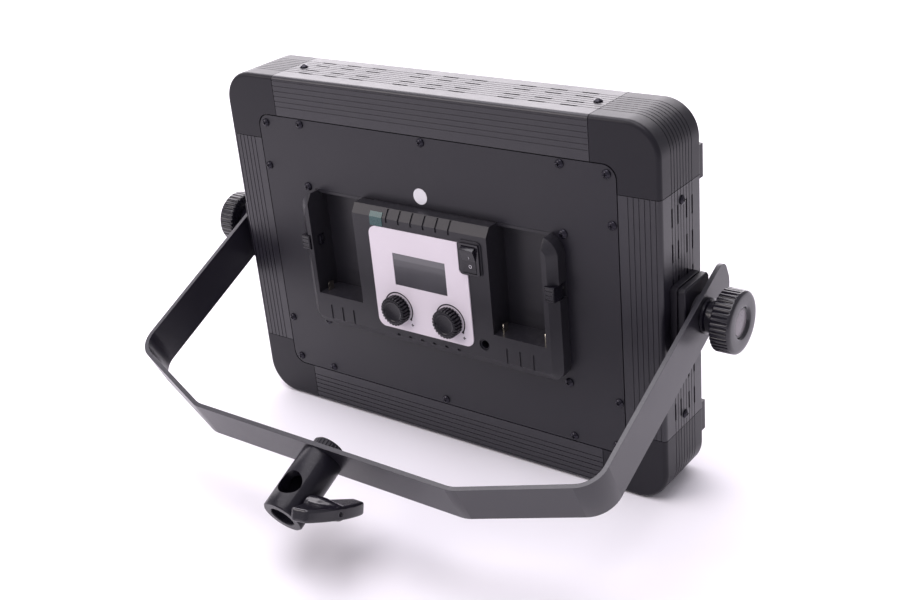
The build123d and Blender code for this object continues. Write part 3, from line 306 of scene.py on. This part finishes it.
def turned(profile, end, outward, flutes, samples, groove):
    """Points and faces of a closed turned shape. Each profile entry is depth below the outer
    end, radius and flute depth, in millimetres; groove(turn) is the share of the flute depth
    that is cut at a point, with one turn for each flute."""
    axis = Vector(outward)
    side = Vector((0, 0, 1))
    over = axis.cross(side)
    count = flutes * samples
    points, rings = [], []
    for depth, radius, flute in profile:
        centre = end - axis * depth * MM
        if radius == 0:
            rings.append([len(points)])
            points.append(centre)
            continue
        rings.append(list(range(len(points), len(points) + count)))
        for step in range(count):
            turn = 2 * pi * step / count
            reach = (radius - flute * groove(flutes * turn)) * MM
            points.append(centre + (side * cos(turn) + over * sin(turn)) * reach)
    faces = []
    for near, far in zip(rings, rings[1:]):
        for step in range(count):
            after = (step + 1) % count
            if len(near) == 1:
                faces.append((near[0], far[step], far[after]))
            elif len(far) == 1:
                faces.append((near[step], far[0], near[after]))
            else:
                faces.append((near[step], far[step], far[after], near[after]))
    return points, faces


def scallop(turn):
    """Rounded ribs with narrow valleys between them."""
    fullness = 0.6
    return 1.0 - abs(sin(turn / 2)) ** fullness


def notch(turn):
    """Teeth with rounded notches of about the same width between them."""
    widening = 0.1
    return max(0.0, (cos(turn) + widening) / (1 + widening))


def clamp_profile(radius):
    """Clamp knob: recess for the disc with the painted reflection, rim, ribs, neck, flange and the
    bore for the stud.
    """
    recess, recess_radius, rib = 2.0, 8.4, 0.95
    body, neck_end, back = 13.2, 20.4, 22.9
    neck, flange, bore, bore_end = 9.8, 11.2, 4.1, 6.4
    return [
        (recess, 0, 0), (recess, recess_radius, 0), (1.75, 9.1, 0), (0.6, 9.7, 0),
        (0.1, 10.3, 0), (0.0, 11.0, 0), (0.0, radius - 3.1, 0), (0.15, radius - 1.9, 0),
        (0.6, radius - 0.9, 0), (1.3, radius - 0.25, 0), (1.9, radius - 0.1, 0.1),
        (2.4, radius, rib - 0.05), (body - 1.0, radius, rib), (body - 0.3, radius - 0.6, 0.8),
        (body, radius - 1.9, 0), (body, neck, 0), (neck_end, neck, 0),
        (neck_end + 0.8, flange, 0), (back, flange, 0), (back, bore, 0), (bore_end, bore, 0),
        (bore_end, 0, 0),
    ]


def reflection_disc_profile():
    """Flat disc that nearly fills the recess of a clamp knob; its pale colour is a painted
    reflection.
    """
    front, back, radius = 1.7, 1.98, 8.0
    return [(front, 0, 0), (front, radius - 0.4, 0), (front + 0.08, radius, 0),
            (back, radius, 0), (back, 0, 0)]


def dial_profile(radius):
    """Dial: domed face inside a low ring, toothed skirt, hollow underside and shaft hole."""
    tooth, skirt_end, hollow, shaft = 1.2, 6.98, 7.5, 3.05
    hollow_end, shaft_end = 5.4, 3.0
    return [
        (0.7, 0, 0), (0.65, 3.0, 0), (0.5, 5.4, 0), (0.45, 6.3, 0), (0.1, 6.7, 0),
        (0.0, 7.2, 0), (0.0, 8.4, 0.15), (0.2, radius - 0.7, 0.85),
        (0.7, radius - 0.15, tooth - 0.05), (1.4, radius, tooth), (6.6, radius, tooth),
        (skirt_end, radius - 0.2, 0.8), (skirt_end, hollow, 0), (hollow_end, hollow, 0),
        (hollow_end, shaft, 0), (shaft_end, shaft, 0), (shaft_end, 0, 0),
    ]


CLAMP_RADIUS, CLAMP_RIBS, RIB_SAMPLES = 19.5, 36, 10
DIAL_RADIUS, DIAL_TEETH, TOOTH_SAMPLES = 10.2, 26, 12


def clamp_knobs():
    for name in ("left", "right"):
        low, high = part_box(f"{name}_clamp_knob")
        outward = 1 if low.x > 0 else -1
        middle = (low + high) / 2
        end = Vector((high.x if outward > 0 else low.x, middle.y, middle.z))
        axis = (outward, 0, 0)
        grip = turned(clamp_profile(CLAMP_RADIUS), end, axis, CLAMP_RIBS, RIB_SAMPLES, scallop)
        item = piece(f"{name}_clamp_grip", *grip, finishes["knob_black"], f"{name}_clamp",
                     "knob_black")
        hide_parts(f"{name}_clamp_knob")
        # Pale disc laid in the recess; its colour is a painted reflection.
        disc = turned(reflection_disc_profile(), end, axis, CLAMP_RIBS, 2, scallop)
        piece(f"{name}_clamp_reflection_disc", *disc, painted_reflection, f"{name}_clamp", "knob_black")


def dial_caps():
    for name in ("brightness", "colour"):
        low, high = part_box(f"{name}_knob")
        middle = (low + high) / 2
        end = Vector((middle.x, high.y, middle.z))
        cap = turned(dial_profile(DIAL_RADIUS), end, (0, 1, 0), DIAL_TEETH, TOOTH_SAMPLES, notch)
        item = piece(f"{name}_dial_cap", *cap, finishes["dial_black"], f"{name}_dial",
                     "knob_black")
        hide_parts(f"{name}_knob")


# ---- printed marks --------------------------------------------------------------------------
# Sizes in millimetres, right and up of the middle of a dial or a mark; angles in degrees,
# anticlockwise from the operator's right.
INK = 0.05 * MM
SCALE_INNER, SCALE_OUTER = 11.0, 11.9
SCALE_START, SCALE_STOP, TIP_STOP = 165.0, -32.0, -38.0
TIP_INNER, TIP_OUTER = 10.7, 12.4
SIGN_SIDE, SIGN_UP = 10.3, -10.5
SIGN_HALF, STROKE_HALF = 1.1, 0.3
ROCKER_SHIFT = -0.8
ON_UP, ON_HALF_WIDTH, ON_HALF_HEIGHT = 1.9, 0.18, 0.9
OFF_UP, OFF_INNER, OFF_OUTER = -4.4, 0.85, 1.2


def printed(name, strips, spot, normal, material, body, slot):
    """Thin printed marks. A strip is a row of point pairs, right and up of the spot."""
    normal = Vector(normal)
    right = Vector((-1, 0, 0))
    up = normal.cross(right)
    points, faces = [], []
    for strip in strips:
        first = len(points)
        for pair in strip:
            points += [spot + (right * a + up * b) * MM for a, b in pair]
        faces += [(first + k, first + k + 1, first + k + 3, first + k + 2)
                  for k in range(0, 2 * len(strip) - 2, 2)]
    item = piece(name, points, faces, material, body, slot)
    skin = item.modifiers.new("skin", "SOLIDIFY")
    skin.thickness = INK
    skin.offset = 0.0


def bar(left, right, low, high):
    return [((left, low), (left, high)), ((right, low), (right, high))]


def arc(inner, outer, start, stop, steps):
    row = []
    for step in range(steps + 1):
        turn = radians(start + (stop - start) * step / steps)
        across, rise = cos(turn), sin(turn)
        row.append(((inner * across, inner * rise), (outer * across, outer * rise)))
    return row


def rear_surface(node, x, z):
    """Point and normal where a line from behind, along -Y, meets a node."""
    well_behind = 0.3
    item = nodes[node]
    local = item.matrix_world.inverted()
    start = local @ Vector((x, well_behind, z))
    aim = (local.to_3x3() @ Vector((0, -1, 0))).normalized()
    _, spot, normal, _ = item.ray_cast(start, aim)
    return item.matrix_world @ spot, (item.matrix_world.to_3x3() @ normal).normalized()


def dial_scales():
    plate_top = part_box("face_plate")[1].y
    low_edge, high_edge = SIGN_UP - STROKE_HALF, SIGN_UP + STROKE_HALF
    strips = [
        arc(SCALE_INNER, SCALE_OUTER, SCALE_START, SCALE_STOP, 48),
        arc(TIP_INNER, TIP_OUTER, SCALE_STOP, TIP_STOP, 4),
        bar(SIGN_SIDE - SIGN_HALF, SIGN_SIDE + SIGN_HALF, low_edge, high_edge),
        bar(SIGN_SIDE - STROKE_HALF, SIGN_SIDE + STROKE_HALF, high_edge, SIGN_UP + SIGN_HALF),
        bar(SIGN_SIDE - STROKE_HALF, SIGN_SIDE + STROKE_HALF, SIGN_UP - SIGN_HALF, low_edge),
        bar(-SIGN_SIDE - SIGN_HALF, -SIGN_SIDE + SIGN_HALF, low_edge, high_edge),
    ]
    for name in ("brightness", "colour"):
        low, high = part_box(f"{name}_knob")
        middle = (low + high) / 2
        spot = Vector((middle.x, plate_top + INK, middle.z))
        printed(f"{name}_scale", strips, spot, (0, 1, 0), ink, "head", "plate_silver")


def rocker_marks():
    low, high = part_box("rocker_frame")
    middle = (low + high) / 2
    line = bar(-ON_HALF_WIDTH, ON_HALF_WIDTH, -ON_HALF_HEIGHT, ON_HALF_HEIGHT)
    ring = arc(OFF_INNER, OFF_OUTER, 0.0, 360.0, 32)
    for name, rise, strip in (("on_mark", ON_UP, line), ("off_mark", OFF_UP, ring)):
        spot, normal = rear_surface("rocker_paddle", middle.x + ROCKER_SHIFT * MM,
                                    middle.z + rise * MM)
        printed(name, [strip], spot + normal * INK, normal, paint, "rocker", "switch_black")


# ---- rounded edges --------------------------------------------------------------------------
EDGE_ROUNDS = {
    "yoke_bar": 0.5, "battery_control_housing": 0.45, "rocker_frame": 0.4,
    "left_pivot_block": 0.6, "right_pivot_block": 0.6,
    "rocker_paddle": 0.35, "left_release_catch": 0.35, "right_release_catch": 0.35,
    "stand_receiver": 0.4,
}
WELD_DISTANCE, FLAT_ANGLE = 0.005 * MM, radians(0.5)
CORNER_ANGLE, ROUND_STEPS = radians(32), 3
VOXEL_SIZE, RUB_FACTOR, RUB_PASSES = 0.6 * MM, 0.5, 7


def round_edges():
    """Small rounds, in millimetres, on the sharp edges of the moulded and bent pieces."""
    for name, width in EDGE_ROUNDS.items():
        item = nodes[name]
        weld = item.modifiers.new("weld", "WELD")
        weld.merge_threshold = WELD_DISTANCE
        merge = item.modifiers.new("merge", "DECIMATE")
        merge.decimate_type = "DISSOLVE"
        merge.angle_limit = FLAT_ANGLE
        edge = item.modifiers.new("rounds", "BEVEL")
        edge.width = width * MM
        edge.segments = ROUND_STEPS
        edge.limit_method = "ANGLE"
        edge.angle_limit = CORNER_ANGLE
        edge.use_clamp_overlap = True


def rub_handle():
    """The wing handle's corners rubbed round all over."""
    handle = nodes["wing_handle"]
    skin = handle.modifiers.new("skin", "REMESH")
    skin.mode = "VOXEL"
    skin.voxel_size = VOXEL_SIZE
    skin.use_smooth_shade = True
    rub = handle.modifiers.new("rub", "SMOOTH")
    rub.factor = RUB_FACTOR
    rub.iterations = RUB_PASSES


clamp_knobs()
dial_caps()
dial_scales()
rocker_marks()
round_edges()
rub_handle()


# ---- stage ----------------------------------------------------------------------------------
FLOOR_SIZE = 9.0
FLOOR_DROP = 0.2 * MM


def floor():
    reach = FLOOR_SIZE / 2
    corners = [(x * reach, y * reach, -FLOOR_DROP) for x, y in ((-1, -1), (1, -1), (1, 1), (-1, 1))]
    mesh = bpy.data.meshes.new("floor")
    mesh.from_pydata(corners, [], [(0, 1, 2, 3)])
    plane = bpy.data.objects.new("floor", mesh)
    scene.collection.objects.link(plane)
    n = Nodes("floor_paper")
    base = n.blend(n.spread(n.noise(6.0), 0.0, 1.0), (0.86, 0.84, 0.88), (0.9, 0.885, 0.92))
    n.join(base, n.shader.inputs["Base Color"])
    n.set(Roughness=0.9)
    mesh.materials.append(n.material)


def area_light(name, place, target, size, power, colour):
    """Soft rectangular light that faces the target; sizes in metres, power in watts."""
    data = bpy.data.lights.new(name, "AREA")
    data.shape = "RECTANGLE"
    data.size, data.size_y = size
    data.energy = power
    data.color = colour
    light = bpy.data.objects.new(name, data)
    scene.collection.objects.link(light)
    light.location = place
    light.visible_camera = False
    light.rotation_euler = (Vector(place) - Vector(target)).to_track_quat("Z", "Y").to_euler()


def surroundings():
    world = bpy.data.worlds.new("studio")
    scene.world = world
    world.use_nodes = True
    back = world.node_tree.nodes["Background"]
    back.inputs["Color"].default_value = (0.99, 0.95, 1.03, 1.0)
    back.inputs["Strength"].default_value = 0.55
    middle = (cad_low + cad_high) / 2
    area_light("backdrop", (1.0, -1.25, 0.85), middle, (3.2, 1.5), 50.0, (1.0, 0.95, 1.0))
    area_light("overhead", (0.1, 0.2, 1.5), middle, (1.6, 1.1), 19.0, (1.0, 0.96, 1.02))
    area_light("window", (1.0, 1.25, 1.0), middle, (1.0, 0.7), 9.0, (1.0, 0.92, 0.9))


def photo_camera():
    azimuth, elevation, roll = radians(218.82), radians(24.98), radians(-5.65)
    distance, lens, sensor = 0.8673, 52.43, 36.0
    rear_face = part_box("rear_cover")[1].y
    target = Vector((-11.6 * MM, rear_face, 110.3 * MM))
    back = Vector((sin(azimuth) * cos(elevation), -cos(azimuth) * cos(elevation), sin(elevation)))
    turn = back.to_track_quat("Z", "Y").to_matrix() @ Matrix.Rotation(roll, 3, "Z")
    data = bpy.data.cameras.new("camera")
    data.sensor_width = sensor
    data.lens = lens
    camera = bpy.data.objects.new("camera", data)
    scene.collection.objects.link(camera)
    camera.matrix_world = Matrix.Translation(target + back * distance) @ turn.to_4x4()
    scene.camera = camera


floor()
surroundings()
photo_camera()
scene.view_settings.view_transform = "Standard"
